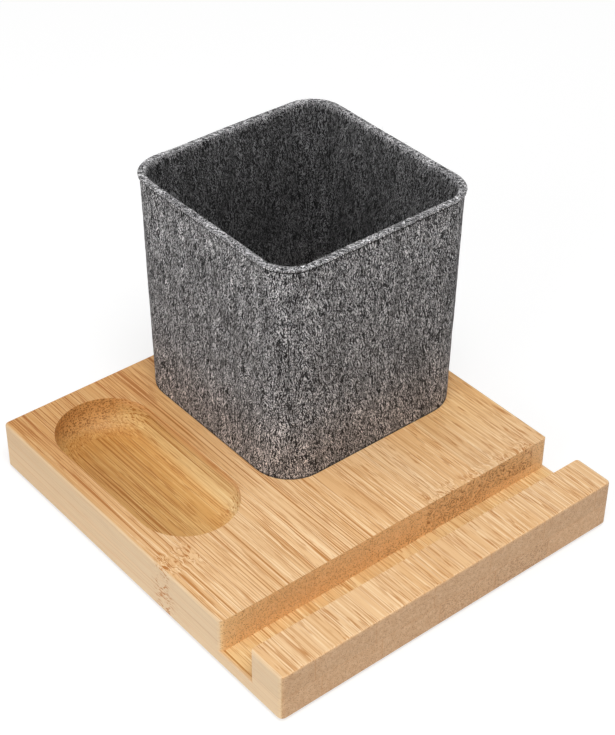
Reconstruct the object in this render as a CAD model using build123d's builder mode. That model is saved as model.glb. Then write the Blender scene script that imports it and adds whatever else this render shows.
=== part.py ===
# Desk organiser: a laminated bamboo board with a phone slot, a routed pocket and a square felt pen cup.
# Millimetres. Z is up, X runs along the slot and Y from the slot to the back of the board.
# The origin is the centre of the object's footprint, on the surface that it stands on.

from build123d import *
import os

os.makedirs("parts", exist_ok=True)

# Board: two plies of flat bamboo strips, glued with their joints almost in line
board_width = 136.6
board_depth = 148.4
deck_ply = 8.75
base_ply = 8.75
corner_radius = 1.8
top_edge_radius = 0.8
bottom_edge_chamfer = 0.5
strip_width = 23.4
deck_first_strip = 12.7
base_first_strip = 15.3
least_strip = 3.0

# Slot: holds a phone or tablet on edge, and leaves a lip in front
lip_depth = 14.8
slot_width = 14.0
slot_floor_thickness = 5.0
slot_end_radius = 1.8

# Pocket: a routed tray with round ends and a coved floor
pocket_width = 35.0
pocket_length = 79.0
pocket_depth = 11.5
pocket_cove = 8.0
pocket_side_margin = 7.3
pocket_back_margin = 7.7

# Feet: round stick-on pads
foot_radius = 5.0
foot_thickness = 1.0
foot_inset = 12.0

# How far a cutter runs out past what it cuts
cut_past = 5.0

# Cup: two felt skins on a stiff floor panel, a little wider at the rim than at the foot
cup_width_bottom = 79.5
cup_width_top = 80.0
cup_height = 82.5
cup_corner_radius = 12.6
cup_edge_margin = 6.2
felt_thickness = 1.0
glue_gap = 0.05
rim_height = 1.0
rim_overhang = 0.7
rim_outer_radius = 0.7
rim_inner_chamfer = 0.4
floor_panel_thickness = 2.0
floor_pad_thickness = 1.5
floor_pad_gap = 0.5

# Screws: countersunk wood screws through the cup's floor into the board
screw_spacing = 40.0
screw_length = 10.5
screw_radius = 1.5
screw_head_radius = 3.0
screw_head_height = 1.7
screw_point_length = 2.5
screw_clearance = 0.1
recess_radius = 1.7
recess_depth = 0.9
recess_slot = 0.6

# Heights
board_bottom = foot_thickness
ply_joint = board_bottom + base_ply
board_top = ply_joint + deck_ply
slot_floor = board_bottom + slot_floor_thickness
board_thickness = base_ply + deck_ply
cup_top = board_top + cup_height
wall_top = cup_top - rim_height
panel_top = board_top + floor_panel_thickness
liner_floor_top = panel_top + felt_thickness
pilot_depth = screw_length - floor_panel_thickness + screw_clearance

# Places in plan
left_edge = -board_width / 2
right_edge = board_width / 2
front_edge = -board_depth / 2
back_edge = board_depth / 2
lip_back = front_edge + lip_depth
slot_back = lip_back + slot_width
pocket_x = left_edge + pocket_side_margin + pocket_width / 2
pocket_y = back_edge - pocket_back_margin - pocket_length / 2
cup_x = right_edge - cup_edge_margin - cup_width_bottom / 2
cup_y = back_edge - cup_edge_margin - cup_width_bottom / 2
screw_places = [(cup_x - screw_spacing / 2, cup_y), (cup_x + screw_spacing / 2, cup_y)]

# Insets of the cup's layers, measured in from the outside of the outer felt
liner_inset = felt_thickness + glue_gap
cavity_inset = liner_inset + felt_thickness


def strip_spans(first_width):
    """Left and right edges of the strips of one ply, from the board's left edge."""
    joints = [left_edge]
    joint = left_edge + first_width
    while joint < right_edge - least_strip:
        joints.append(joint)
        joint += strip_width
    joints.append(right_edge)
    return list(zip(joints, joints[1:]))


def cup_width(inset, height):
    """Width of the cup at a height, and at an inset from its outside."""
    share = (height - board_top) / cup_height
    return cup_width_bottom + (cup_width_top - cup_width_bottom) * share - 2 * inset


def cup_plane(height):
    """A level plane on the cup's own axis."""
    return Plane(origin=(cup_x, cup_y, height))


def cup_form(inset, bottom, top):
    """The outline of one layer of the cup as a block: leaning walls and round upright edges."""
    with BuildPart() as form:
        for height in (bottom, top):
            with BuildSketch(cup_plane(height)):
                Rectangle(cup_width(inset, height), cup_width(inset, height))
        loft()
        upright_edges = form.edges().filter_by(Plane.XY, reverse=True)
        fillet(upright_edges, cup_corner_radius - inset)
    return form.part


def cup_slab(inset, height):
    """Width, depth and corner radius of a level slab in the cup, for RectangleRounded."""
    width = cup_width(inset, height)
    return width, width, cup_corner_radius - inset


# Pocket cutter: a round-ended slab with its lower edge coved like the router bit
with BuildPart() as pocket_cutter:
    with BuildSketch(Plane.XY.offset(board_top - pocket_depth)):
        with Locations((pocket_x, pocket_y)):
            SlotOverall(pocket_length, pocket_width, rotation=90)
    extrude(amount=pocket_depth + cut_past)
    fillet(pocket_cutter.faces().sort_by(Axis.Z)[0].edges(), pocket_cove)

# Board, whole: the glued blank with every cut made in it
with BuildPart() as board:
    with BuildSketch(Plane.XY.offset(board_bottom)):
        RectangleRounded(board_width, board_depth, corner_radius)
    extrude(amount=board_thickness)
    fillet(board.faces().sort_by(Axis.Z)[-1].edges(), top_edge_radius)
    chamfer(board.faces().sort_by(Axis.Z)[0].edges(), bottom_edge_chamfer)
    # The slot runs out through both sides
    with BuildSketch(Plane.XY.offset(slot_floor)):
        with Locations((0, (lip_back + slot_back) / 2)):
            Rectangle(board_width + 2 * cut_past, slot_width)
    extrude(amount=board_thickness, mode=Mode.SUBTRACT)
    # The upright corners at the slot's ends are sanded round
    with BuildSketch(Plane.XY.offset(slot_floor)):
        for side in (-1, 1):
            for wall, away in ((lip_back, -1), (slot_back, 1)):
                corner_x = side * (board_width / 2 - slot_end_radius / 2)
                centre_x = side * (board_width / 2 - slot_end_radius)
                with Locations((corner_x, wall + away * slot_end_radius / 2)):
                    Rectangle(slot_end_radius, slot_end_radius)
                with Locations((centre_x, wall + away * slot_end_radius)):
                    Circle(slot_end_radius, mode=Mode.SUBTRACT)
    extrude(amount=board_thickness, mode=Mode.SUBTRACT)
    add(pocket_cutter.part, mode=Mode.SUBTRACT)
    # Pilot holes for the cup's screws
    with BuildSketch(Plane.XY.offset(board_top)):
        with Locations(screw_places):
            Circle(screw_radius + screw_clearance)
    extrude(amount=-pilot_depth, mode=Mode.SUBTRACT)


def board_piece(span, front, back, bottom, thickness):
    """The part of the board that one strip holds."""
    with BuildPart() as piece:
        add(board.part)
        with BuildSketch(Plane.XY.offset(bottom)):
            with Locations(((span[0] + span[1]) / 2, (front + back) / 2)):
                Rectangle(span[1] - span[0], back - front)
        extrude(amount=thickness, mode=Mode.INTERSECT)
    return piece


def save(piece, name):
    """Labels a finished piece and writes it."""
    piece.part.label = name
    export_step(piece.part, f"parts/{name}.step")


# Base strips: the lower ply, which joins the lip to the deck below the slot
for number, span in enumerate(strip_spans(base_first_strip), 1):
    base_strip = board_piece(span, front_edge, back_edge, board_bottom, base_ply)
    save(base_strip, f"base_strip_{number}")

# Lip strips: the upper ply in front of the slot
for number, span in enumerate(strip_spans(deck_first_strip), 1):
    lip_strip = board_piece(span, front_edge, lip_back, ply_joint, deck_ply)
    save(lip_strip, f"lip_strip_{number}")

# Deck strips: the upper ply behind the slot. A strip that the pocket cuts through is two pieces
for number, span in enumerate(strip_spans(deck_first_strip), 1):
    deck_strip = board_piece(span, slot_back, back_edge, ply_joint, deck_ply)
    if len(deck_strip.part.solids()) == 1:
        save(deck_strip, f"deck_strip_{number}")
    else:
        front_half = board_piece(span, slot_back, pocket_y, ply_joint, deck_ply)
        save(front_half, f"deck_strip_{number}_front")
        back_half = board_piece(span, pocket_y, back_edge, ply_joint, deck_ply)
        save(back_half, f"deck_strip_{number}_back")

# Feet: four pads near the corners
foot_x = right_edge - foot_inset
foot_y = back_edge - foot_inset
foot_places = {
    "foot_front_left": (-foot_x, -foot_y),
    "foot_front_right": (foot_x, -foot_y),
    "foot_back_left": (-foot_x, foot_y),
    "foot_back_right": (foot_x, foot_y),
}
for name, place in foot_places.items():
    with BuildPart() as foot:
        with BuildSketch():
            with Locations(place):
                Circle(foot_radius)
        extrude(amount=foot_thickness)
    save(foot, name)

# Cup outer wall: a felt sleeve that stands on the board and stops under the rim
sleeve_outside = cup_form(0, board_top, wall_top)
sleeve_inside = cup_form(felt_thickness, board_top, wall_top)
with BuildPart() as cup_outer_wall:
    add(sleeve_outside)
    add(sleeve_inside, mode=Mode.SUBTRACT)
save(cup_outer_wall, "cup_outer_wall")

# Cup liner: an inner felt cup whose top is turned out over the outer wall as a rolled rim
liner_outside = cup_form(liner_inset, panel_top, wall_top)
cavity = cup_form(cavity_inset, liner_floor_top, cup_top)
with BuildPart() as cup_liner:
    add(liner_outside)
    with BuildSketch(cup_plane(wall_top)):
        RectangleRounded(*cup_slab(-rim_overhang, wall_top))
    extrude(amount=rim_height)
    fillet(cup_liner.faces().sort_by(Axis.Z)[-1].edges(), rim_outer_radius)
    add(cavity, mode=Mode.SUBTRACT)
    rim_face = cup_liner.faces().filter_by(Plane.XY).sort_by(Axis.Z)[-1]
    chamfer(rim_face.inner_wires()[0].edges(), rim_inner_chamfer)
    # Holes that the screws pass through
    with BuildSketch(Plane.XY.offset(panel_top)):
        with Locations(screw_places):
            Circle(screw_head_radius + screw_clearance)
    extrude(amount=felt_thickness, mode=Mode.SUBTRACT)
save(cup_liner, "cup_liner")

# Cup floor panel: a stiff board inside the foot of the outer wall, countersunk for the screws
with BuildPart() as cup_floor_panel:
    with BuildSketch(cup_plane(board_top)):
        RectangleRounded(*cup_slab(liner_inset, board_top))
    extrude(amount=floor_panel_thickness)
    for place in screw_places:
        with Locations((place[0], place[1], panel_top)):
            CounterSinkHole(
                radius=screw_radius + screw_clearance,
                counter_sink_radius=screw_head_radius + screw_clearance,
                depth=floor_panel_thickness,
            )
save(cup_floor_panel, "cup_floor_panel")

# Cup floor pad: loose felt that hides the screws
with BuildPart() as cup_floor_pad:
    with BuildSketch(cup_plane(liner_floor_top)):
        RectangleRounded(*cup_slab(cavity_inset + floor_pad_gap, liner_floor_top))
    extrude(amount=floor_pad_thickness)
save(cup_floor_pad, "cup_floor_pad")

# Cup screws: a flat head, a cone under it, a plain shank and a point
for name, place in zip(("cup_screw_left", "cup_screw_right"), screw_places):
    with BuildPart() as cup_screw:
        with BuildSketch(Plane(origin=(place[0], place[1], panel_top), x_dir=(1, 0, 0), z_dir=(0, -1, 0))):
            with BuildLine():
                Polyline(
                    (0, 0),
                    (screw_head_radius, 0),
                    (screw_radius, -screw_head_height),
                    (screw_radius, screw_point_length - screw_length),
                    (0, -screw_length),
                    close=True,
                )
            make_face()
        revolve(axis=Axis((place[0], place[1], 0), (0, 0, 1)))
        # Cross recess
        with BuildSketch(Plane(origin=(place[0], place[1], panel_top))):
            Rectangle(2 * recess_radius, recess_slot)
            Rectangle(recess_slot, 2 * recess_radius)
        extrude(amount=-recess_depth, mode=Mode.SUBTRACT)
    save(cup_screw, name)
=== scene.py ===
# %% [markdown]
# # A bamboo desk organiser with a felt cup
#
# The object is a thick bamboo board with a phone slot, a routed pocket and a square pen cup of grey felt.
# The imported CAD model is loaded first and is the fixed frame: every piece made here sits where a CAD piece
# says. The bamboo strips keep their CAD shapes and get a wood finish. The felt is soft, so its three pieces
# are made again. All lengths are in metres. Inside the materials, places are turned into millimetres, which
# suit grain and fibres.

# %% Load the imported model
import math
import random

import bpy
from mathutils import Matrix, Vector


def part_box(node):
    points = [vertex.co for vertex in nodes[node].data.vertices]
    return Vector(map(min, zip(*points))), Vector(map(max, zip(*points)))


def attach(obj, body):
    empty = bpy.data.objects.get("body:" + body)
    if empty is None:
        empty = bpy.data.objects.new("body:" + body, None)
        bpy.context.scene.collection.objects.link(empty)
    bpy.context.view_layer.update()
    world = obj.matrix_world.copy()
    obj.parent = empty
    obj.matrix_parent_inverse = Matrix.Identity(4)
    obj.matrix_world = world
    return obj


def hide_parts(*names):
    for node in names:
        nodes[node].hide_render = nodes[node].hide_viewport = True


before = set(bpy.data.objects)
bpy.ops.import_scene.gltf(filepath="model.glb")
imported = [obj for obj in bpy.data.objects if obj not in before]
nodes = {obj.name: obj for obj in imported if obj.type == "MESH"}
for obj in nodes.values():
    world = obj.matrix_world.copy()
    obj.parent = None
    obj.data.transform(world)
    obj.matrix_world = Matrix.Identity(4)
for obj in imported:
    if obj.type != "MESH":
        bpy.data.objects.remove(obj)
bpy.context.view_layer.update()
mm = 0.001

# %% [markdown]
# ## Camera
#
# A product photographer stands back and uses a long lens, so that the upright edges stay nearly upright.
# The place, the lens and the three angles were solved from the straight edges of the board in the
# photograph. A camera looks along its own -Z, so it is tipped up from straight down, and then turned round
# the Z axis.

# %% Camera
lens_length = 87.05
camera_place = Vector((-0.28545, -0.34510, 0.39349))
camera_azimuth = math.radians(-39.791)
camera_elevation = math.radians(37.225)
camera_roll = math.radians(0.608)

camera = bpy.data.objects.new("camera", bpy.data.cameras.new("camera"))
bpy.context.scene.collection.objects.link(camera)
camera.data.lens = lens_length
camera.data.clip_start = 10 * mm
turn = Matrix.Rotation(camera_azimuth, 4, "Z")
tip = Matrix.Rotation(math.pi / 2 - camera_elevation, 4, "X")
lean = Matrix.Rotation(camera_roll, 4, "Z")
camera.matrix_world = Matrix.Translation(camera_place) @ turn @ tip @ lean
bpy.context.scene.camera = camera
bpy.context.scene.view_settings.view_transform = "Standard"
print("camera at", tuple(camera_place), "with a lens of", lens_length, "mm")

# %% [markdown]
# ## Light
#
# The photograph has the even light of a white tent: soft shadows, and faces that differ only a little. A
# white world gives most of it. One softbox high up adds some direction, and a second one on the left keeps
# the left sides bright. Their powers were chosen so that a colour renders about as it is written.

# %% Softboxes
softbox_size = 0.5
high_place = (-0.25, -0.45, 1.15)
high_power = 6.4
left_place = (-0.95, -0.25, 0.55)
left_power = 2.2
object_middle = (0, 0, 0.03)


def softbox(name, place, power):
    """A square area lamp that faces the middle of the object."""
    lamp = bpy.data.objects.new(name, bpy.data.lights.new(name, "AREA"))
    bpy.context.scene.collection.objects.link(lamp)
    lamp.data.size = softbox_size
    lamp.data.energy = power
    lamp.location = place
    inward = Vector(object_middle) - Vector(place)
    lamp.rotation_euler = inward.to_track_quat("-Z", "Y").to_euler()
    lamp.visible_camera = False
    print(name, "of", power, "W")


softbox("high softbox", high_place, high_power)
softbox("left softbox", left_place, left_power)

# %% [markdown]
# The world is seen at full white, so that the picture has a white backdrop, but lights the object with less
# than that. A Light Path node tells the rays apart.

# %% White world
ambient_light = 0.55
backdrop_light = 1.0
white = (1, 1, 1, 1)


def seen_directly(tree):
    """1 for rays from the camera, a mirror or a glass, and 0 for rays that only carry light."""
    light_path = tree.nodes.new("ShaderNodeLightPath")
    reached = light_path.outputs["Is Camera Ray"]
    for name in ("Is Glossy Ray", "Is Transmission Ray"):
        either = tree.nodes.new("ShaderNodeMath")
        either.operation = "MAXIMUM"
        tree.links.new(reached, either.inputs[0])
        tree.links.new(light_path.outputs[name], either.inputs[1])
        reached = either.outputs[0]
    return reached


world = bpy.data.worlds.new("white tent")
world.use_nodes = True
bpy.context.scene.world = world
tent = world.node_tree
ambient = tent.nodes["Background"]
ambient.inputs["Color"].default_value = white
ambient.inputs["Strength"].default_value = ambient_light
backdrop = tent.nodes.new("ShaderNodeBackground")
backdrop.inputs["Color"].default_value = white
backdrop.inputs["Strength"].default_value = backdrop_light
blend = tent.nodes.new("ShaderNodeMixShader")
tent.links.new(seen_directly(tent), blend.inputs[0])
tent.links.new(ambient.outputs[0], blend.inputs[1])
tent.links.new(backdrop.outputs[0], blend.inputs[2])
tent.links.new(blend.outputs[0], tent.nodes["World Output"].inputs["Surface"])
print("ambient light", ambient_light, "and backdrop", backdrop_light)

# %% [markdown]
# ## Floor
#
# The floor is a wide white sheet. Part of its whiteness is its own, so that it is as white as the backdrop,
# and the rest is lit, so that it still takes the soft shadow of the object. Rays that only carry light meet
# plain light grey paper instead, so that the sheet's own light doesn't fall on the object.

# %% Floor
floor_size = 6.0
floor_lit_grey = (0.45, 0.45, 0.45, 1)
floor_own_light = 0.62
floor_bounce_grey = (0.75, 0.75, 0.75, 1)

bpy.ops.mesh.primitive_plane_add(size=floor_size, location=(0, 0, 0))
floor = bpy.context.object
floor.name = "floor"
paper = bpy.data.materials.new("white paper")
paper.use_nodes = True
sheet = paper.node_tree
sheet.nodes.remove(sheet.nodes["Principled BSDF"])
bounce = sheet.nodes.new("ShaderNodeBsdfDiffuse")
bounce.inputs["Color"].default_value = floor_bounce_grey
lit = sheet.nodes.new("ShaderNodeBsdfDiffuse")
lit.inputs["Color"].default_value = floor_lit_grey
glow = sheet.nodes.new("ShaderNodeEmission")
glow.inputs["Strength"].default_value = floor_own_light
shown = sheet.nodes.new("ShaderNodeAddShader")
sheet.links.new(lit.outputs[0], shown.inputs[0])
sheet.links.new(glow.outputs[0], shown.inputs[1])
choice = sheet.nodes.new("ShaderNodeMixShader")
sheet.links.new(seen_directly(sheet), choice.inputs[0])
sheet.links.new(bounce.outputs[0], choice.inputs[1])
sheet.links.new(shown.outputs[0], choice.inputs[2])
sheet.links.new(choice.outputs[0], sheet.nodes["Material Output"].inputs["Surface"])
floor.data.materials.append(paper)
print("floor", floor_size, "m wide")

# %% [markdown]
# ## Ways to wire a material
#
# Grain and fibres are solid patterns: they are worked out from the place of each point in the object, in
# millimetres, so they run through a strip of wood and come out on every face of it, as they do in a real
# one. A material is a network of small nodes. This class adds them with short names, so that the finishes
# below read as recipes: a cloud is soft noise, strands are thin threads in a solid, span turns one range
# into another, and level goes from one number to another as a share goes from 0 to 1. Soft noise lies around
# 0.5, and most of it between 0.3 and 0.7.

# %% Wiring
most_noise = (0.3, 0.7)


class Wiring:
    """A material, and short ways to add shader nodes to it."""

    # Socket numbers of a Mix node that is set to colours
    mix_factor = 0
    mix_first = 6
    mix_second = 7
    mix_result = 2

    def __init__(self, name):
        self.material = bpy.data.materials.new(name)
        self.material.use_nodes = True
        self.tree = self.material.node_tree
        self.shader = self.tree.nodes["Principled BSDF"]
        origin = self.add("ShaderNodeTexCoord")
        self.place = self.scaled(origin.outputs["Object"], 1 / mm)
        self.x, self.y, self.z = self.split(self.place)
        facing = self.vector("ABSOLUTE", origin.outputs["Normal"])
        _, self.facing_y, self.facing_z = self.split(facing)

    def add(self, kind, **settings):
        """A node with its settings."""
        node = self.tree.nodes.new(kind)
        for setting, value in settings.items():
            setattr(node, setting, value)
        return node

    def feed(self, socket, value):
        """Wires a socket to another, or sets its value."""
        if isinstance(value, bpy.types.NodeSocket):
            self.tree.links.new(value, socket)
        else:
            socket.default_value = value

    def math(self, operation, *values):
        """One step of arithmetic."""
        node = self.add("ShaderNodeMath", operation=operation)
        for socket, value in zip(node.inputs, values):
            self.feed(socket, value)
        return node.outputs[0]

    def times(self, product, *others):
        """The product of all the values."""
        for other in others:
            product = self.math("MULTIPLY", product, other)
        return product

    def most(self, largest, *others):
        """The largest of the values."""
        for other in others:
            largest = self.math("MAXIMUM", largest, other)
        return largest

    def level(self, share, start, end):
        """A number that goes straight from start to end as the share goes from 0 to 1."""
        return self.math("MULTIPLY_ADD", share, end - start, start)

    def distance(self, first, second):
        """How far two numbers are apart."""
        return self.math("ABSOLUTE", self.math("SUBTRACT", first, second))

    def vector(self, operation, *values):
        """One step of arithmetic on places."""
        node = self.add("ShaderNodeVectorMath", operation=operation)
        for socket, value in zip(node.inputs, values):
            self.feed(socket, value)
        return node.outputs["Vector"]

    def scaled(self, value, share):
        """A place or a colour times a number."""
        node = self.add("ShaderNodeVectorMath", operation="SCALE")
        self.feed(node.inputs[0], value)
        self.feed(node.inputs["Scale"], share)
        return node.outputs["Vector"]

    def split(self, place):
        """The three numbers of a place."""
        node = self.add("ShaderNodeSeparateXYZ")
        self.feed(node.inputs[0], place)
        return node.outputs

    def join(self, x, y, z):
        """A place from three numbers."""
        node = self.add("ShaderNodeCombineXYZ")
        for socket, value in zip(node.inputs, (x, y, z)):
            self.feed(socket, value)
        return node.outputs[0]

    def span(self, value, low, high, start=0.0, end=1.0):
        """Turns low to high into start to end, smoothly, and holds still outside them."""
        node = self.add("ShaderNodeMapRange", interpolation_type="SMOOTHSTEP")
        sockets = ("Value", "From Min", "From Max", "To Min", "To Max")
        for name, number in zip(sockets, (value, low, high, start, end)):
            self.feed(node.inputs[name], number)
        return node.outputs["Result"]

    def noise(self, place, size, detail, roughness):
        """A soft noise node whose patches have this size along each axis."""
        node = self.add("ShaderNodeTexNoise")
        self.feed(node.inputs["Vector"], self.vector("DIVIDE", place, size))
        node.inputs["Scale"].default_value = 1.0
        node.inputs["Detail"].default_value = detail
        node.inputs["Roughness"].default_value = roughness
        return node

    def cloud(self, place, size, detail=1.0, roughness=0.5):
        """Soft noise around 0.5, in patches of this size."""
        return self.noise(place, size, detail, roughness).outputs["Fac"]

    def drift(self, place, size):
        """A soft push to and fro around nothing, in patches of this size."""
        colour = self.noise(place, size, 1.0, 0.5).outputs["Color"]
        return self.vector("SUBTRACT", colour, (0.5, 0.5, 0.5))

    def strands(self, place, size, radius, core):
        """Threads in a solid, one to each cell of this size: how much a point is on one, and a random number.
        The radius is a share of the cell, and the core, where a thread is full, a share of the radius."""
        node = self.add("ShaderNodeTexVoronoi", feature="F1")
        self.feed(node.inputs["Vector"], self.vector("DIVIDE", place, size))
        node.inputs["Scale"].default_value = 1.0
        on_thread = self.span(node.outputs["Distance"], radius, radius * core)
        return on_thread, self.split(node.outputs["Color"])[0]

    def chance(self, number):
        """A random place for each whole number."""
        node = self.add("ShaderNodeTexWhiteNoise", noise_dimensions="1D")
        self.feed(node.inputs["W"], number)
        return node.outputs["Color"]

    def choose(self, number, values):
        """The value that stands at a whole number's place in a list."""
        low = min(values)
        high = max(values)
        node = self.add("ShaderNodeValToRGB")
        ramp = node.color_ramp
        ramp.interpolation = "CONSTANT"
        for step, value in enumerate(values):
            stop = ramp.elements[0] if step == 0 else ramp.elements.new(step / len(values))
            share = (value - low) / (high - low)
            stop.color = (share, share, share, 1)
        while len(ramp.elements) > len(values):
            ramp.elements.remove(ramp.elements[-1])
        middle_of_step = self.math("DIVIDE", self.math("ADD", number, 0.5), float(len(values)))
        self.feed(node.inputs[0], middle_of_step)
        chosen = self.add("ShaderNodeMapRange")
        for name, value in zip(("Value", "To Min", "To Max"), (node.outputs["Color"], low, high)):
            self.feed(chosen.inputs[name], value)
        return chosen.outputs["Result"]

    def mix(self, share, first, second, blend="MIX"):
        """Two colours mixed: share 0 is the first and 1 the second."""
        node = self.add("ShaderNodeMix", data_type="RGBA", blend_type=blend)
        self.feed(node.inputs[self.mix_factor], share)
        for index, colour in ((self.mix_first, first), (self.mix_second, second)):
            ready = colour if isinstance(colour, bpy.types.NodeSocket) else (*colour, 1)
            self.feed(node.inputs[index], ready)
        return node.outputs[self.mix_result]

    def tint(self, share, colour, by):
        """A colour multiplied by another, by a share of it."""
        return self.mix(share, colour, by, "MULTIPLY")

    def finish(self, colour, height, depth, roughness, specular):
        """Wires the shader: colour, relief of this depth in metres, and how rough it is."""
        relief = self.add("ShaderNodeBump")
        relief.inputs["Distance"].default_value = depth
        self.feed(relief.inputs["Height"], height)
        self.feed(self.shader.inputs["Normal"], relief.outputs["Normal"])
        self.feed(self.shader.inputs["Base Color"], colour)
        self.feed(self.shader.inputs["Roughness"], roughness)
        self.shader.inputs["Specular IOR Level"].default_value = specular
        return self.material


def finish_nodes(prefix, material):
    """Gives a finish to every CAD piece whose name starts this way."""
    found = [node for name, node in nodes.items() if name.startswith(prefix)]
    for node in found:
        for slot in node.material_slots:
            slot.material = material
        node.select_set(False)
    print(len(found), "pieces are now", material.name)


print("wiring helpers are ready")


# %% A finish for small parts
def patchy(name, size, noise, edges, colours, depth, roughness, specular, metallic=0.0):
    """Two colours in patches of this size, which also make the relief. Noise is (detail, roughness)."""
    w = Wiring(name)
    patches = w.cloud(w.place, size, *noise)
    colour = w.mix(w.span(patches, *edges), *colours)
    w.shader.inputs["Metallic"].default_value = metallic
    return w.finish(colour, patches, depth, w.span(patches, *most_noise, *roughness), specular)


print("small parts get a finish of two colours")

# %% [markdown]
# ## Bamboo
#
# The board is glued up from flat strips of bamboo cane. Their fibres run from front to back (along Y), in
# bundles that are browner than the pale wood between them. On a planed face a bundle is a thin dash or a
# long line, and where a strip is cut across, on the front and on the walls of the slot, a bundle is a dot.
# Lines and dashes are soft noise drawn out along Y, and dots are threads that run along Y through the
# solid. Each strip comes from another cane: its patterns start elsewhere, and its tone differs a little.
# The finish is made in steps, each a short function, and the last puts them together. The edges of a
# pattern, two numbers near the middle of its noise, say how much of the wood it covers.

# %% Board measures in mm, read from the frame
strip_low, strip_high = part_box("deck_strip_3")
strip_pitch = (strip_high.x - strip_low.x) / mm
slot_back = strip_low.y / mm
deck_first_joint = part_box("deck_strip_1")[1].x / mm
base_first_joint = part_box("base_strip_1")[1].x / mm
ply_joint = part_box("base_strip_1")[1].z / mm
board_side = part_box("base_strip_7")[1].x / mm
board_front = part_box("lip_strip_3")[0].y / mm
print("strips are", round(strip_pitch, 2), "mm wide and the plies meet at", round(ply_joint, 2), "mm")

# %% Bamboo colours
pale_wood = (0.87, 0.575, 0.310)
honey_wood = (0.82, 0.505, 0.245)
fibre_brown = (0.50, 0.200, 0.045)
fibre_light = (1.00, 0.745, 0.465)
knuckle_brown = (0.50, 0.19, 0.04)
# End grain away from the front: its wood, with painted warm light bounced inside the slot
end_grain_warm_and_bounce = (0.83, 0.525, 0.243)
end_grain_dot = (0.27, 0.115, 0.036)
sawn_front = (0.58, 0.352, 0.188)
planed_side = (0.77, 0.58, 0.37)
print("a bundle keeps", round(fibre_brown[1] / pale_wood[1], 2), "of the green of the pale wood")

# %% [markdown]
# ### Run of the fibres
#
# The fibres are almost straight, and bend at a knuckle of the cane. A soft noise pushes each place
# sideways, slightly all over and more near a knuckle, before any fibres are read there. So lines, dashes
# and dots bend together.

# %% Run of the fibres
strips_apart = 300.0
wander_size = (14, 120, 14)
wander_reach = 1.8
swirl_size = (3.4, 5.0, 3.4)
swirl_reach = 4.0
knuckle_edge = 7.5
knuckle_heart = 0.8


def run_of_fibres(w, strip, knuckles):
    """Where the fibres carry each point, and how near it is to its strip's knuckle, from 0 to 1."""
    from_knuckle = w.distance(w.y, w.choose(strip, knuckles))
    at_knuckle = w.span(from_knuckle, knuckle_edge, knuckle_heart)
    wander = w.scaled(w.drift(w.place, wander_size), wander_reach)
    swirl = w.scaled(w.drift(w.place, swirl_size), w.times(at_knuckle, swirl_reach))
    moved = w.vector("ADD", w.place, w.vector("ADD", wander, swirl))
    other_cane = w.scaled(w.chance(strip), strips_apart)
    return w.vector("ADD", moved, other_cane), at_knuckle


print("a knuckle reaches", knuckle_edge, "mm to each side")

# %% [markdown]
# ### Wood along the fibres
#
# Bundles are mostly long lines on the left of the board and mostly short dashes on the right, and dashes
# crowd in some places. Between them run pale lines, over slow changes from honey to pale wood.

# %% Bundles
long_bundle = (0.44, 85.0, 0.44)
long_bundle_edges = (0.575, 0.61)
long_bundle_shares = (0.90, 0.40)
short_bundle = (0.36, 9.0, 0.36)
short_bundle_edges = (0.575, 0.62)
short_bundle_shares = (0.45, 0.80)
short_bundle_start = (57.0, 23.0, 91.0)
long_to_short = 45.0
crowd_size = (5.0, 32.0, 5.0)
crowd_detail = 2.0
crowd_edges = (0.36, 0.54)
least_crowd = 0.2


def bundles(w, grain, short_from):
    """How much of a brown bundle each point is on. Lines give way to dashes to the right of short_from."""
    short_here = w.span(w.x, short_from, short_from + long_to_short)
    long_line = w.span(w.cloud(grain, long_bundle), *long_bundle_edges)
    long_dark = w.times(long_line, w.level(short_here, *long_bundle_shares))
    elsewhere = w.vector("ADD", grain, short_bundle_start)
    short_line = w.span(w.cloud(elsewhere, short_bundle), *short_bundle_edges)
    crowd = w.span(w.cloud(grain, crowd_size, crowd_detail), *crowd_edges, least_crowd, 1.0)
    short_dark = w.times(short_line, crowd, w.level(short_here, *short_bundle_shares))
    return w.most(long_dark, short_dark)


print("bundles are", long_bundle[1], "or", short_bundle[1], "mm long")

# %% Planed faces
pale_line = (0.48, 45.0, 0.48)
pale_line_edges = (0.54, 0.62)
pale_line_share = 0.70
pale_line_start = (11.0, 71.0, 37.0)
broad_size = (9.0, 200.0, 9.0)
broad_edges = (0.35, 0.66)
brown_streak_edges = (0.52, 0.30)
brown_streak_share = 0.14


def planed_wood(w, grain, streak, dark):
    """The top: honey to pale wood, pale lines, faint brown streaks and brown bundles."""
    wood = w.mix(w.span(w.cloud(grain, broad_size), *broad_edges), honey_wood, pale_wood)
    elsewhere = w.vector("ADD", grain, pale_line_start)
    on_pale_line = w.span(w.cloud(elsewhere, pale_line), *pale_line_edges)
    wood = w.mix(w.times(on_pale_line, pale_line_share), wood, fibre_light)
    wood = w.mix(w.span(streak, *brown_streak_edges, 0.0, brown_streak_share), wood, fibre_brown)
    return w.mix(dark, wood, fibre_brown)


print("pale lines are", pale_line[1], "mm long")

# %% Outer sides
side_streak_edges = (0.45, 0.75)
side_streak_share = 0.30
side_bundle_share = 0.14


def side_wood(w, streak, dark):
    """The outer sides of the board: paler, with few bundles."""
    wood = w.mix(w.span(streak, *side_streak_edges, 0.0, side_streak_share), planed_side, honey_wood)
    return w.mix(w.times(dark, side_bundle_share), wood, fibre_brown)


print("the sides show", side_bundle_share, "of the bundles")
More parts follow.
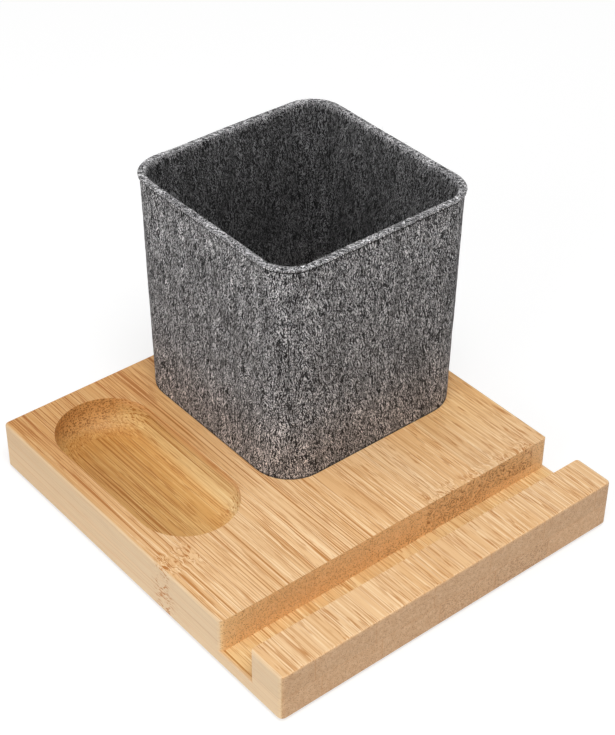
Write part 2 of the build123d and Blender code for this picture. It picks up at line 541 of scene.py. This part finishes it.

# %% [markdown]
# ### Wood cut across
#
# A cut bundle is a dot. A Voronoi pattern has one point in each cell, and with cells drawn out along Y a
# small ball round each point becomes a thread that a cut shows as a dot. Coarse strips and the back of the
# board have larger dots as well. The front of the board is duller than the slot's walls, whose warmer colour
# is partly their wood and partly painted light bounced between them.

# %% End grain
fine_dot_cell = (0.50, 9.0, 0.50)
fine_dot_radius = 0.46
fine_dot_core = 0.50
fine_dot_chances = (0.1, 0.9)
fine_dot_strengths = (0.35, 1.0)
large_dot_cell = (0.84, 12.0, 0.72)
large_dot_radius = 0.50
large_dot_core = 0.55
large_dot_chances = (0.1, 0.5)
large_dot_strengths = (0.5, 1.0)
dot_shares = (0.95, 0.75)
end_streak_edges = (0.35, 0.70)
end_streak_share = 0.18


def end_grain(w, grain, streak, coarse, at_front):
    """A face cut across the fibres. Coarse is how much of the larger dots a strip has."""
    on_fine, fine_chance = w.strands(grain, fine_dot_cell, fine_dot_radius, fine_dot_core)
    on_large, large_chance = w.strands(grain, large_dot_cell, large_dot_radius, large_dot_core)
    fine = w.times(on_fine, w.span(fine_chance, *fine_dot_chances, *fine_dot_strengths))
    large = w.times(on_large, w.span(large_chance, *large_dot_chances, *large_dot_strengths), coarse)
    # Away from the front, the end grain's colour holds painted warm light bounced inside the slot
    wood = w.mix(at_front, end_grain_warm_and_bounce, sawn_front)
    wood = w.mix(w.span(streak, *end_streak_edges, 0.0, end_streak_share), wood, fibre_light)
    dot_share = w.times(w.most(fine, large), w.level(at_front, *dot_shares))
    return w.mix(dot_share, wood, end_grain_dot)


print("dots are", fine_dot_cell[0], "to", large_dot_cell[0], "mm apart")

# %% [markdown]
# ### Marks and tones
#
# A knuckle leaves small orange-brown strokes here and there. Glue shows as a thin line between strips and
# plies. Painted shade darkens the wood towards the back, the wood is a deeper honey towards the right, and
# painted light that has gone from wood to wood tints the hollows: the floors of the slot and the pocket, and
# the coved walls between. On the pocket's floor that tint is painted shade as well.

# %% Knuckle marks and glue lines
knuckle_stroke = (0.62, 3.4, 0.62)
knuckle_stroke_edges = (0.53, 0.59)
knuckle_stroke_share = 0.95
knuckle_patch = (6.0, 6.0, 6.0)
knuckle_patch_edges = (0.46, 0.54)
knuckle_on_ends = 0.2
glue_edges = (0.16, 0.04)
strip_glue_share = 0.45
ply_glue_share = 0.35


def knuckle_marks(w, grain, at_knuckle, across):
    """How much of a knuckle's stroke each point is on."""
    stroke = w.span(w.cloud(grain, knuckle_stroke), *knuckle_stroke_edges, 0.0, knuckle_stroke_share)
    patch = w.span(w.cloud(w.place, knuckle_patch), *knuckle_patch_edges)
    return w.times(at_knuckle, patch, stroke, w.level(across, 1.0, knuckle_on_ends))


def glue_lines(w, strips_along):
    """How much of a glue line each point is on."""
    into_strip = w.math("FRACT", strips_along)
    nearer_side = w.math("MINIMUM", into_strip, w.level(into_strip, 1.0, 0.0))
    strip_glue = w.span(w.times(nearer_side, strip_pitch), *glue_edges, 0.0, strip_glue_share)
    ply_glue = w.span(w.distance(w.z, ply_joint), *glue_edges, 0.0, ply_glue_share)
    return w.most(strip_glue, ply_glue)


print("glue lines are", 2 * glue_edges[0], "mm wide")

# %% Tones
# Painted shade towards the back of the board
painted_back_shade = (0.78, 0.65, 0.46)
back_shade_reach = (-40.0, 72.0)
back_shade_on_sides = 0.3
deeper_at_right = (1.00, 0.94, 0.79)
right_reach = (15.0, 60.0)
right_from_front = (-45.0, -10.0)
# Painted light bounced from wood to wood in the hollows, and on the pocket's floor painted shade as well
pocket_floor_bounce_and_shade = (0.88, 0.85, 0.64)
slot_floor_bounce = (0.92, 0.98, 0.90)
cove_bounce = (0.97, 1.11, 1.09)
hollow_heights = (18.0, 14.0)
slot_to_pocket = (slot_back - 1.0, slot_back + 2.0)
level_enough = (0.6, 0.9)


def tones(w, colour, beyond_side, at_front, across):
    """Painted shade towards the back, a deeper tone towards the right, and painted bounce light in the
    hollows.
    """
    # Painted shade, darker towards the back
    back_shade_share = w.times(w.span(w.y, *back_shade_reach), w.level(beyond_side, 1.0, back_shade_on_sides))
    colour = w.tint(back_shade_share, colour, painted_back_shade)
    to_right = w.times(w.span(w.x, *right_reach), w.span(w.y, *right_from_front))
    colour = w.tint(to_right, colour, deeper_at_right)
    # Painted bounce light in the hollows, with painted shade on the pocket's floor
    inward = w.level(w.most(beyond_side, at_front, across), 1.0, 0.0)
    low_down = w.times(w.span(w.z, *hollow_heights), inward)
    hollow_floor_bounce = w.mix(w.span(w.y, *slot_to_pocket), slot_floor_bounce, pocket_floor_bounce_and_shade)
    on_floor = w.span(w.facing_z, *level_enough)
    colour = w.tint(w.times(low_down, on_floor), colour, hollow_floor_bounce)
    return w.tint(w.times(low_down, w.level(on_floor, 1.0, 0.0)), colour, cove_bounce)


print("hollows are tinted below", hollow_heights[0], "mm")

# %% [markdown]
# ### One wood for each ply
#
# The two plies have their joints at different places, and the lip has mostly dashes and no knuckle, so
# there are three woods. Lists go by strip, from the left. A knuckle is given by its y in mm, and one beyond
# the board's ends means that the strip has none. Each call ends with the x in mm where dashes begin to take
# over from lines.

# %% Bamboo
streak_size = (1.6, 60.0, 1.6)
streak_noise = (3.0, 0.6)
side_skin = (1.2, 0.2)
side_share = 0.9
front_skin = (1.0, 0.3)
faces_front = (0.50, 0.86)
coarse_back_from = (48.0, 58.0)
coarse_back_share = 0.85
streak_relief = 0.5
grain_depth = 0.03 * mm
grain_roughness = (0.52, 0.42)
grain_specular = 0.30


def bamboo(name, first_joint, strip_tones, knuckles, coarseness, short_from):
    """The wood of one ply, from the steps above."""
    w = Wiring(name)
    strips_along = w.math("DIVIDE", w.math("SUBTRACT", w.x, first_joint), strip_pitch)
    strip = w.math("ADD", w.math("FLOOR", strips_along), 1.0)
    grain, at_knuckle = run_of_fibres(w, strip, knuckles)
    streak = w.cloud(grain, streak_size, *streak_noise)
    dark = bundles(w, grain, short_from)

    from_middle = w.math("ABSOLUTE", w.x)
    beyond_side = w.span(from_middle, board_side - side_skin[0], board_side - side_skin[1])
    planed = planed_wood(w, grain, streak, dark)
    along = w.mix(w.times(beyond_side, side_share), planed, side_wood(w, streak, dark))

    at_front = w.span(w.y, board_front + front_skin[0], board_front + front_skin[1])
    across = w.span(w.facing_y, *faces_front)
    coarse_back = w.span(w.y, *coarse_back_from, 0.0, coarse_back_share)
    coarse = w.most(w.choose(strip, coarseness), coarse_back)
    colour = w.mix(across, along, end_grain(w, grain, streak, coarse, at_front))

    colour = w.mix(knuckle_marks(w, grain, at_knuckle, across), colour, knuckle_brown)
    glue = glue_lines(w, strips_along)
    colour = w.mix(glue, colour, fibre_brown)
    # Painted shade towards the back, and painted bounce light and shade in the hollows
    colour = tones(w, colour, beyond_side, at_front, across)
    colour = w.scaled(colour, w.choose(strip, strip_tones))
    height = w.math("SUBTRACT", w.times(streak, streak_relief), w.most(dark, glue))
    roughness = w.span(streak, *most_noise, *grain_roughness)
    return w.finish(colour, height, grain_depth, roughness, grain_specular)


print("the grain is", grain_depth, "m deep")


# %% Deck
deck_tones = [1.04, 1.05, 1.09, 1.11, 1.07, 1.01, 1.00]
deck_knuckles = [-16.0, -118.0, 128.0, 125.0, -46.4, -45.8, 131.0]
deck_coarseness = [0.1, 0.15, 0.2, 0.15, 0.9, 1.0, 0.1]
deck_bamboo = bamboo("deck bamboo", deck_first_joint, deck_tones, deck_knuckles, deck_coarseness, -15.0)
finish_nodes("deck_", deck_bamboo)

# %% Lip
lip_tones = [1.02, 1.02, 1.05, 1.04, 1.03, 1.02, 1.00]
lip_knuckles = [118.0, 121.0, 128.0, 125.0, 119.0, 122.0, 131.0]
lip_coarseness = [0.1, 0.0, 0.1, 0.15, 0.05, 0.1, 0.05]
lip_bamboo = bamboo("lip bamboo", deck_first_joint, lip_tones, lip_knuckles, lip_coarseness, -90.0)
finish_nodes("lip_", lip_bamboo)

# %% Base
base_tones = [1.08, 1.09, 1.07, 1.08, 1.05, 1.09, 1.06]
base_knuckles = [-17.0, 118.0, 128.0, 125.0, 123.0, 122.0, 131.0]
base_coarseness = [0.15, 0.1, 0.1, 0.75, 0.9, 0.15, 0.1]
base_bamboo = bamboo("base bamboo", base_first_joint, base_tones, base_knuckles, base_coarseness, -60.0)
finish_nodes("base_", base_bamboo)

# %% [markdown]
# ## Felt
#
# Wool felt is a mat of short fibres. This one mixes dark and light wool, so close up it is a tangle of thin
# dark and light dashes that lean to and fro around the upright, and from afar it is a mottled grey. A dash
# is a soft noise drawn out along one direction. Two sets of light dashes and one of dark ones cross each
# other: a set leans because its places are sheared, sideways by so much for each millimetre of height. On
# top of the turned rim the height does not change, so there the places are swapped round until the dashes
# lie slanting.

# %% Felt colours and fibres
felt_ground = (0.024, 0.023, 0.025)
felt_light = (0.80, 0.79, 0.80)
felt_dark = (0.005, 0.005, 0.006)
level_top = (0.35, 0.75)
bend_size = (6.0, 6.0, 8.0)
bend_reach = (4.0, 4.0, 1.0)
bend_on_rim = (3.0, 3.0, 3.0)
leaning_set = (0.36, (0.28, 0.28, 3.0))
counter_set = (-0.32, (0.27, 0.27, 2.7))
upright_set = (0.05, (0.37, 0.37, 4.2))
sets_apart = (300.0, 170.0, 90.0)
dash_noise = (2.0, 0.6)


def fibre_sets(w):
    """Three soft noises drawn out into dashes: leaning one way, leaning the other way, and nearly upright."""
    on_top = w.span(w.facing_z, *level_top)
    bend = w.drift(w.place, bend_size)
    bent = w.vector("ADD", w.place, w.vector("MULTIPLY", bend, bend_reach))
    bent_on_rim = w.vector("MULTIPLY", bend, bend_on_rim)
    one_way = w.math("ADD", w.x, w.y)
    other_way = w.math("SUBTRACT", w.x, w.y)
    sets = []
    for lean, size in (leaning_set, counter_set, upright_set):
        sideways = w.times(w.z, lean)
        sheared = w.vector("ADD", bent, w.join(sideways, sideways, 0.0))
        slanting = w.join(one_way, w.z, other_way) if lean > 0 else w.join(other_way, w.z, one_way)
        laid = w.mix(on_top, sheared, w.vector("ADD", slanting, bent_on_rim))
        start = tuple(lean * apart for apart in sets_apart)
        sets.append(w.cloud(w.vector("ADD", laid, start), size, *dash_noise))
    return sets


print("dashes are", counter_set[1][2], "to", upright_set[1][2], "mm long")

# %% [markdown]
# ### Light and dark of the felt
#
# Patches of wool differ slowly, and a band half way up is a little darker. On top of that comes painted
# light:
# painted shade on the faces that look to the front and the back, a painted highlight on the rim, painted
# lines of shade at the seam under it and at the foot, and painted shade inside the cup.

# %% Felt levels, with heights in mm
wall_low, wall_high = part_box("cup_outer_wall")
felt_foot = wall_low.z / mm
felt_rim = wall_high.z / mm
mottle_size = (3.4, 3.4, 15.0)
mottle_noise = (3.0, 0.6)
mottle_levels = (0.66, 1.24)
# Painted shade inside, at the seam and at the foot, a painted rim highlight, and painted shade on front and
# back faces
inside_shade_from = (felt_rim + 0.2, felt_rim - 2.0)
seam_shade_from = (felt_rim - 0.95, felt_rim - 0.65)
foot_shade_from = (felt_foot + 0.9, felt_foot + 0.2)
foot_shade = 0.3
dark_band_height = 62.0
dark_band_reach = (6.0, 32.0)
dark_band_level = 0.86
rim_highlight_from = (felt_rim + 0.1, felt_rim + 0.4)
rim_highlight = 1.45
front_shade_facing = (0.6, 0.9)
front_shade_level = 0.90


def felt_tone_and_painted_light(w, inside_shade_level, seam_shade_level):
    """Wool patches with painted shade and a painted rim highlight. Inside and seam shade levels go by piece.
    """
    patches = w.span(w.cloud(w.place, mottle_size, *mottle_noise), *most_noise, *mottle_levels)
    # Painted shade: inside the cup, at the seam under the rim and at the foot
    inside = w.level(w.span(w.z, *inside_shade_from), 1.0, inside_shade_level)
    seam = w.span(w.z, *seam_shade_from, 1.0, seam_shade_level)
    foot = w.span(w.z, *foot_shade_from, 1.0, foot_shade)
    band = w.span(w.distance(w.z, dark_band_height), *dark_band_reach, dark_band_level, 1.0)
    # Painted highlight on the rim, and painted shade on faces that look to the front and back
    rim = w.span(w.z, *rim_highlight_from, 1.0, rim_highlight)
    front = w.span(w.facing_y, *front_shade_facing, 1.0, front_shade_level)
    return w.times(patches, inside, seam, foot, band, rim, front)


print("felt reaches from", round(felt_foot, 2), "to", round(felt_rim, 2), "mm")

# %% [markdown]
# ### Two felts
#
# The sleeve has the painted shade of the seam, and the liner, whose rim is turned out over it, has painted
# shade below the rim. Near the foot the wool gets painted warm light, bounced from the wood.

# %% Felt
# Painted warm light bounced from the wood onto the felt near the foot
felt_wood_bounce = (1.02, 0.94, 0.89)
wood_bounce_heights = (50.0, 22.0)
leaning_edges = (0.51, 0.60)
counter_edges = (0.54, 0.63)
counter_share = 0.9
upright_edges = (0.49, 0.41)
upright_share = 0.98
upright_relief = 0.5
felt_depth = 0.25 * mm
felt_roughness = (0.95, 0.85)
felt_sheen = 0.06
felt_sheen_roughness = 0.6
felt_specular = 0.15


def felt(name, inside_shade_level, seam_shade_level):
    """Mottled wool felt: light dashes on a dark ground, under darker ones."""
    w = Wiring(name)
    leaning, counter, upright = fibre_sets(w)
    tangle = w.mix(w.span(leaning, *leaning_edges), felt_ground, felt_light)
    tangle = w.mix(w.span(counter, *counter_edges, 0.0, counter_share), tangle, felt_light)
    tangle = w.mix(w.span(upright, *upright_edges, 0.0, upright_share), tangle, felt_dark)
    # Painted warm light bounced from the wood, near the foot
    bounce_tinted = w.tint(w.span(w.z, *wood_bounce_heights), tangle, felt_wood_bounce)
    # Wool patches, with painted shade and a painted rim highlight
    colour = w.scaled(bounce_tinted, felt_tone_and_painted_light(w, inside_shade_level, seam_shade_level))
    height = w.math("SUBTRACT", w.math("ADD", leaning, counter), w.times(upright, upright_relief))
    w.shader.inputs["Sheen Weight"].default_value = felt_sheen
    w.shader.inputs["Sheen Roughness"].default_value = felt_sheen_roughness
    roughness = w.span(upright, *most_noise, *felt_roughness)
    return w.finish(colour, height, felt_depth, roughness, felt_specular)


grey_felt = felt("grey felt", 1.0, 0.2)
# The liner's copy of the felt has painted shade inside the cup, and no painted seam shade
shaded_inner_felt = felt("shaded inner felt", 0.46, 1.0)
print(grey_felt.name, "and", shaded_inner_felt.name, "are ready")

# %% [markdown]
# ## Cup
#
# The cup is two skins of felt, each 1 mm thick. Each is a square tube with round upright edges, rounder at
# the foot than at the rim, and the rim is a little longer from front to back than from side to side. A tube
# that changes like that is easiest as rings: a level outline is drawn at each height, and each ring is
# bridged to the next. The inner skin's rings go up its inside, over the rim, back under it and down its
# outside, so the rolled rim is part of the same piece, as it is on the real cup.

# %% Cup measures
liner_low, liner_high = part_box("cup_liner")
pad_low, pad_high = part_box("cup_floor_pad")
cup_x = (wall_low.x + wall_high.x) / 2
cup_y = (wall_low.y + wall_high.y) / 2
foot_z = wall_low.z
wall_top = wall_high.z
cup_top = liner_high.z
foot_width = Vector((79.3, 79.5)) * mm
rim_width = Vector((79.5, 80.5)) * mm
foot_shift = Vector((0.10, 0.0)) * mm
rim_shift = Vector((0.05, 0.25)) * mm
foot_corner = 14.0 * mm
rim_corner = 11.5 * mm
felt_thickness = 1.0 * mm
skin_gap = 0.05 * mm
rim_overhang = ((liner_high.x - liner_low.x) - (wall_high.x - wall_low.x)) / 2
corner_steps = 8
side_steps = 24
row_height = 3.0 * mm
print("cup centre", round(cup_x, 5), round(cup_y, 5), "from", round(foot_z, 5), "to", round(cup_top, 5))


# %% One ring
def deselect():
    """Goes back to object mode with nothing selected."""
    if bpy.context.object and bpy.context.object.mode != "OBJECT":
        bpy.ops.object.mode_set(mode="OBJECT")
    bpy.ops.object.select_all(action="DESELECT")


def ring(inset, height):
    """A level outline of the cup: a square with round corners, at an inset from its outside."""
    share = (height - foot_z) / (cup_top - foot_z)
    width = foot_width.lerp(rim_width, share) - Vector((2 * inset, 2 * inset))
    shift = foot_shift.lerp(rim_shift, share)
    corner = foot_corner + (rim_corner - foot_corner) * share - inset
    deselect()
    centre = (cup_x + shift.x, cup_y + shift.y, height)
    bpy.ops.mesh.primitive_plane_add(size=1.0, location=centre)
    outline = bpy.context.object
    outline.scale = (width.x, width.y, 1.0)
    bpy.ops.object.transform_apply(location=True, rotation=True, scale=True)
    bpy.ops.object.mode_set(mode="EDIT")
    bpy.ops.mesh.select_all(action="SELECT")
    bpy.ops.mesh.bevel(offset=corner, segments=corner_steps, affect="VERTICES")
    bpy.ops.mesh.select_all(action="SELECT")
    bpy.ops.mesh.delete(type="ONLY_FACE")
    bpy.ops.mesh.select_all(action="DESELECT")
    bpy.ops.object.mode_set(mode="OBJECT")
    # The four straight sides, by far the longest edges, are divided so that the wall can wave a little
    points = outline.data.vertices
    for edge in outline.data.edges:
        first, second = (points[number].co for number in edge.vertices)
        edge.select = (first - second).length > width.x / 3
    bpy.ops.object.mode_set(mode="EDIT")
    bpy.ops.mesh.select_mode(type="EDGE")
    bpy.ops.mesh.subdivide(number_cuts=side_steps - 1)
    bpy.ops.mesh.select_mode(type="VERT")
    bpy.ops.object.mode_set(mode="OBJECT")
    return outline


print("rings of", 4 * (corner_steps + side_steps), "points")


# %% Bridges and rows
def select_rings(*numbers):
    """Selects the points of these rings alone, in edit mode."""
    bpy.ops.mesh.select_all(action="DESELECT")
    for number in numbers:
        bpy.ops.object.vertex_group_set_active(group=f"ring {number}")
        bpy.ops.object.vertex_group_select()


def skin(name, places, closed=True):
    """Bridges rings, given as (inset, height) in order, into one piece.
    Closed joins the last to the first, and otherwise both are filled."""
    rings = [ring(inset, height) for inset, height in places]
    for number, outline in enumerate(rings):
        group = outline.vertex_groups.new(name=f"ring {number}")
        group.add(range(len(outline.data.vertices)), 1.0, "REPLACE")
    deselect()
    for outline in rings:
        outline.select_set(True)
    piece = rings[0]
    bpy.context.view_layer.objects.active = piece
    bpy.ops.object.join()
    piece.name = name
    piece.data.name = name
    last = len(places) - 1
    pairs = [(number, number + 1) for number in range(last)]
    if closed:
        pairs.append((last, 0))
    bpy.ops.object.mode_set(mode="EDIT")
    for first, second in pairs:
        select_rings(first, second)
        bpy.ops.mesh.bridge_edge_loops()
    if not closed:
        for end in (0, last):
            select_rings(end)
            bpy.ops.mesh.fill_grid(span=side_steps + corner_steps)
    bpy.ops.mesh.select_all(action="SELECT")
    bpy.ops.mesh.normals_make_consistent(inside=False)
    bpy.ops.object.mode_set(mode="OBJECT")
    piece.vertex_groups.clear()
    print(name, "has", len(piece.data.polygons), "faces")
    return piece


def cut_rows(piece, bottom, top):
    """Cuts the walls of a piece level with a plane at every row, so that they have points to move."""
    deselect()
    bpy.context.view_layer.objects.active = piece
    bpy.ops.object.mode_set(mode="EDIT")
    rows = int((top - bottom) / row_height)
    for row in range(1, rows):
        height = bottom + (top - bottom) * row / rows
        bpy.ops.mesh.select_all(action="SELECT")
        bpy.ops.mesh.bisect(plane_co=(cup_x, cup_y, height), plane_no=(0, 0, 1))
    bpy.ops.mesh.select_all(action="DESELECT")
    bpy.ops.object.mode_set(mode="OBJECT")
    print(piece.name, "has", len(piece.data.polygons), "faces after", rows - 1, "cuts")


print("rows are cut about", row_height, "m apart")

# %% [markdown]
# ### Surface of the felt
#
# A felt wall is never quite flat. One soft noise gives it slow waves of two tenths of a millimetre to each
# side, and a finer one gives the lumps of the wool, which also roughen its outline. Both push the surface
# along its normals with the Displace modifier, and both fade out at the foot, where the wall stands on the
# board.

# %% Waves and lumps
waves = ("waves", 22 * mm, 0.45 * mm)
lumps = ("lumps", 1.6 * mm, 0.16 * mm)
foot_fade = 4 * mm
sharpest_smooth_edge = math.radians(60)


def roughen(piece, foot, finish):
    """Gives a felt piece its waves and lumps, smooth shading and its finish."""
    deselect()
    piece.select_set(True)
    bpy.context.view_layer.objects.active = piece
    finer = piece.modifiers.new("finer", "SUBSURF")
    finer.subdivision_type = "SIMPLE"
    finer.levels = 1
    bpy.ops.object.modifier_apply(modifier="finer")
    free = piece.vertex_groups.new(name="free")
    for point in piece.data.vertices:
        freedom = min(1.0, max(0.0, (point.co.z - foot) / foot_fade))
        free.add([point.index], freedom, "REPLACE")
    for name, patch, strength in (waves, lumps):
        noise = bpy.data.textures.new(f"{piece.name} {name}", "CLOUDS")
        noise.noise_scale = patch
        push = piece.modifiers.new(name, "DISPLACE")
        push.texture = noise
        push.texture_coords = "LOCAL"
        push.strength = strength
        push.mid_level = 0.5
        push.vertex_group = "free"
        bpy.ops.object.modifier_apply(modifier=name)
    bpy.ops.object.shade_smooth_by_angle(angle=sharpest_smooth_edge)
    piece.data.materials.clear()
    piece.data.materials.append(finish)


print("waves and lumps fade out in the lowest", foot_fade, "m")

# %% Outer wall: a sleeve that stops under the rim
wall_rings = [
    (0.0, foot_z),
    (0.0, wall_top - 0.15 * mm),
    (0.15 * mm, wall_top),
    (felt_thickness, wall_top),
    (felt_thickness, foot_z),
]
outer_felt = skin("cup_outer_felt", wall_rings)
cut_rows(outer_felt, foot_z, wall_top)
roughen(outer_felt, foot_z, grey_felt)
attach(outer_felt, "root")
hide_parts("cup_outer_wall")

# %% Liner: up its inside, over the rolled rim, and down its outside
liner_inset = felt_thickness + skin_gap
inside = liner_inset + felt_thickness
liner_floor = liner_low.z + felt_thickness
liner_rings = [
    (inside + 2.0 * mm, liner_floor),
    (inside + 0.4 * mm, liner_floor + 0.3 * mm),
    (inside, liner_floor + 1.6 * mm),
    (inside, cup_top - 0.9 * mm),
    (inside - 0.12 * mm, cup_top - 0.4 * mm),
    (inside - 0.45 * mm, cup_top - 0.08 * mm),
    (inside - 0.85 * mm, cup_top),
    (0.15 * mm, cup_top - 0.03 * mm),
    (0.22 * mm - rim_overhang, cup_top - 0.16 * mm),
    (0.03 * mm - rim_overhang, cup_top - 0.42 * mm),
    (0.08 * mm - rim_overhang, wall_top + 0.12 * mm),
    (0.35 * mm - rim_overhang, wall_top + 0.02 * mm),
    (0.30 * mm, wall_top + 0.04 * mm),
    (liner_inset, wall_top + 0.03 * mm),
    (liner_inset, liner_low.z),
]
liner = skin("cup_liner_felt", liner_rings, closed=False)
cut_rows(liner, liner_floor + 2 * mm, wall_top - 1 * mm)
roughen(liner, liner_floor, shaded_inner_felt)
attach(liner, "root")
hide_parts("cup_liner")

# %% [markdown]
# ### Floor pad
#
# A loose square of felt covers the screws in the cup's floor. It is a soft pad, so its top is slightly
# crowned and its edge is round. Rings give it that form as well.

# %% Floor pad
cup_left = cup_x - foot_width.x / 2
pad_edge = pad_low.x - cup_left
pad_thickness = pad_high.z - pad_low.z
pad_rings = [
    (pad_edge + 0.5 * mm, pad_low.z),
    (pad_edge + 0.1 * mm, pad_low.z + 0.3 * pad_thickness),
    (pad_edge + 0.15 * mm, pad_low.z + 0.65 * pad_thickness),
    (pad_edge + 0.8 * mm, pad_low.z + 0.9 * pad_thickness),
    (pad_edge + 6.0 * mm, pad_high.z),
]
pad = skin("cup_floor_felt", pad_rings, closed=False)
roughen(pad, pad_low.z, shaded_inner_felt)
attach(pad, "root")
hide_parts("cup_floor_pad")

# %% [markdown]
# ### Loose fibres
#
# Wool sheds: a few hundred fine hairs stand off the wall, and longer ones stick up along the rim. Each hair
# is a short bent line. Lines are cheap as one curve with many splines, and a thin bevel makes them round.

# %% Hairs
hair_radius = 0.022 * mm
hair_root = 0.1 * mm
hair_steps = 3
hair_lift = (0.12, 0.45)
hair_curl = (-0.5, 0.5)
dice = random.Random(7)


def point_on_wall(along, height, inset):
    """A point on the cup's outside, and the directions outward and sideways there.
    Along goes round the cup from 0 to 4, one side for each whole number."""
    share = (height - foot_z) / (cup_top - foot_z)
    half = foot_width.lerp(rim_width, share).x / 2 - inset
    reach = half - rim_corner
    side, step = divmod(along, 1)
    across = (2 * step - 1) * reach
    turned = Matrix.Rotation(side * math.pi / 2, 3, "Z")
    outward = turned @ Vector((0, -1, 0))
    sideways = turned @ Vector((1, 0, 0))
    return Vector((cup_x, cup_y, height)) + outward * half + sideways * across, outward, sideways


def add_hair(curves, start, outward, along, length):
    """One hair, which starts in the felt and bends away from it."""
    spline = curves.splines.new("POLY")
    spline.points.add(hair_steps)
    lift = dice.uniform(*hair_lift)
    curl = dice.uniform(*hair_curl)
    for number, point in enumerate(spline.points):
        step = number / hair_steps
        raised = outward * (length * lift * step - hair_root)
        bent = along * (length * step) + outward.cross(along) * (length * curl * step * step)
        point.co = (*(start + raised + bent), 1.0)


print("hairs are", 2 * hair_radius, "m thick")

# %% Loose fibres
wall_hairs = 420
wall_hair_length = (0.8, 2.2)
wall_hair_lean = (-0.9, 0.9)
wall_hair_heights = (foot_z + 3 * mm, wall_top - 1 * mm)
rim_hairs = 130
rim_hair_length = (0.8, 2.6)
rim_hair_lean = (-0.8, 0.8)
rim_hair_inset = (-0.3, 1.8)
up = Vector((0, 0, 1))

hairs = bpy.data.curves.new("cup_loose_fibres", "CURVE")
hairs.dimensions = "3D"
hairs.bevel_depth = hair_radius
hairs.bevel_resolution = 0
hairs.use_fill_caps = True
for number in range(wall_hairs):
    height = dice.uniform(*wall_hair_heights)
    start, outward, sideways = point_on_wall(dice.uniform(0, 4), height, 0.0)
    along = (up + sideways * dice.uniform(*wall_hair_lean)).normalized()
    add_hair(hairs, start, outward, along, dice.uniform(*wall_hair_length) * mm)
for number in range(rim_hairs):
    place_round = dice.uniform(0, 4)
    inset = dice.uniform(*rim_hair_inset) * mm
    start, outward, sideways = point_on_wall(place_round, cup_top, inset)
    along = (sideways * dice.choice((-1, 1)) + outward * dice.uniform(*rim_hair_lean)).normalized()
    add_hair(hairs, start, up, along, dice.uniform(*rim_hair_length) * mm)
fibres = bpy.data.objects.new("cup_loose_fibres", hairs)
bpy.context.scene.collection.objects.link(fibres)
deselect()
fibres.select_set(True)
bpy.context.view_layer.objects.active = fibres
bpy.ops.object.convert(target="MESH")
fibres = bpy.context.object

loose_wool = patchy(
    "loose wool",
    size=(1.7, 1.7, 1.7),
    noise=(0.0, 0.5),
    edges=(0.42, 0.58),
    colours=((0.10, 0.10, 0.10), (0.45, 0.44, 0.44)),
    depth=0.01 * mm,
    roughness=(0.8, 0.7),
    specular=0.2,
)
fibres.data.materials.append(loose_wool)
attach(fibres, "root")
print("fibres have", len(fibres.data.polygons), "faces")

# %% [markdown]
# ## Hidden hardware
#
# The stiff floor of the cup is pressed wood board, the screws are plain steel and the feet are dark rubber.
# They hardly show, but the object is looked at from below as well, so each has a finish with the marks it
# would have: chips in the board, turned rings on the screws and the grain of the rubber.

# %% Floor panel
panel_board = patchy(
    "pressed board",
    size=(1.2, 0.5, 0.5),
    noise=(3.0, 0.65),
    edges=(0.36, 0.64),
    colours=((0.20, 0.115, 0.06), (0.33, 0.21, 0.12)),
    depth=0.06 * mm,
    roughness=(0.8, 0.65),
    specular=0.3,
)
finish_nodes("cup_floor_panel", panel_board)

# %% Screws
screw_steel = patchy(
    "screw steel",
    size=(0.9, 0.9, 0.06),
    noise=(2.0, 0.5),
    edges=(0.35, 0.65),
    colours=((0.50, 0.49, 0.47), (0.66, 0.65, 0.63)),
    depth=0.01 * mm,
    roughness=(0.40, 0.28),
    specular=0.5,
    metallic=1.0,
)
finish_nodes("cup_screw_", screw_steel)

# %% Feet
foot_rubber = patchy(
    "foot rubber",
    size=(0.35, 0.35, 0.35),
    noise=(3.0, 0.6),
    edges=(0.35, 0.65),
    colours=((0.035, 0.033, 0.031), (0.065, 0.062, 0.058)),
    depth=0.05 * mm,
    roughness=(0.85, 0.7),
    specular=0.3,
)
finish_nodes("foot_", foot_rubber)
